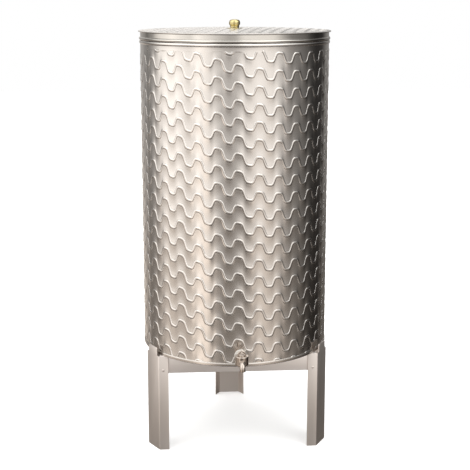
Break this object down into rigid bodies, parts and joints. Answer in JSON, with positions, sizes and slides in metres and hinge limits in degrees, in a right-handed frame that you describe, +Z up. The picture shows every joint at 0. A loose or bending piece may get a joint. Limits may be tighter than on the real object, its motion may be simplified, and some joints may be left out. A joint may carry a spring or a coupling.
{
  "type": "vertical storage tank",
  "caption": "Upright round sheet-steel tank with a rib-patterned wall, a slip-over lid with a knob, a tap at the foot and a folded-sheet stand with three legs.",
  "frame": {"origin": "on the floor under the middle of the whole object's box; the tank's axis stands 25.2 mm towards +Y of it", "axes": "+Z up along the tank; the tap points to -Y; the rear leg stands on the +Y side"},
  "size_m": [0.4292, 0.492, 0.9581],
  "materials": {
    "sheet_steel": "bright stainless sheet with raised ribs and vertical brushing",
    "stand_steel": "plain folded stainless sheet, satin",
    "plain_steel": "plain turned steel",
    "chrome_plating": "bright plating over a casting",
    "brass_gold": "polished yellow metal",
    "seal": "pale soft sealing ring"
  },
  "bodies": {
    "tank": {"tank_wall": "sheet_steel", "tank_bottom": "sheet_steel", "bottom_rim": "sheet_steel", "tap_boss": "plain_steel", "tap_gasket": "seal", "tap_body": "chrome_plating", "tap_gland": "chrome_plating", "tap_base_cap": "chrome_plating", "leg_left": "stand_steel", "leg_right": "stand_steel", "leg_rear": "stand_steel", "rail_front": "stand_steel", "rail_left": "stand_steel", "rail_right": "stand_steel"},
    "lid": {"lid_plate": "sheet_steel", "lid_skirt": "sheet_steel", "lid_washer": "brass_gold", "lid_knob": "brass_gold", "lid_nut": "plain_steel"},
    "tap_key": {"tap_stem": "chrome_plating", "tap_handle": "chrome_plating"}
  },
  "joints": [
    {"name": "lid_lift", "type": "slide", "parent": "tank", "child": "lid", "axis": [0, 0, 1], "range_m": [0, 0.15]},
    {"name": "tap_turn", "type": "hinge", "parent": "tank", "child": "tap_key", "pos_m": [0, -0.21682, 0.258], "axis": [0, 0, 1], "range_deg": [0, 90]}
  ]
}
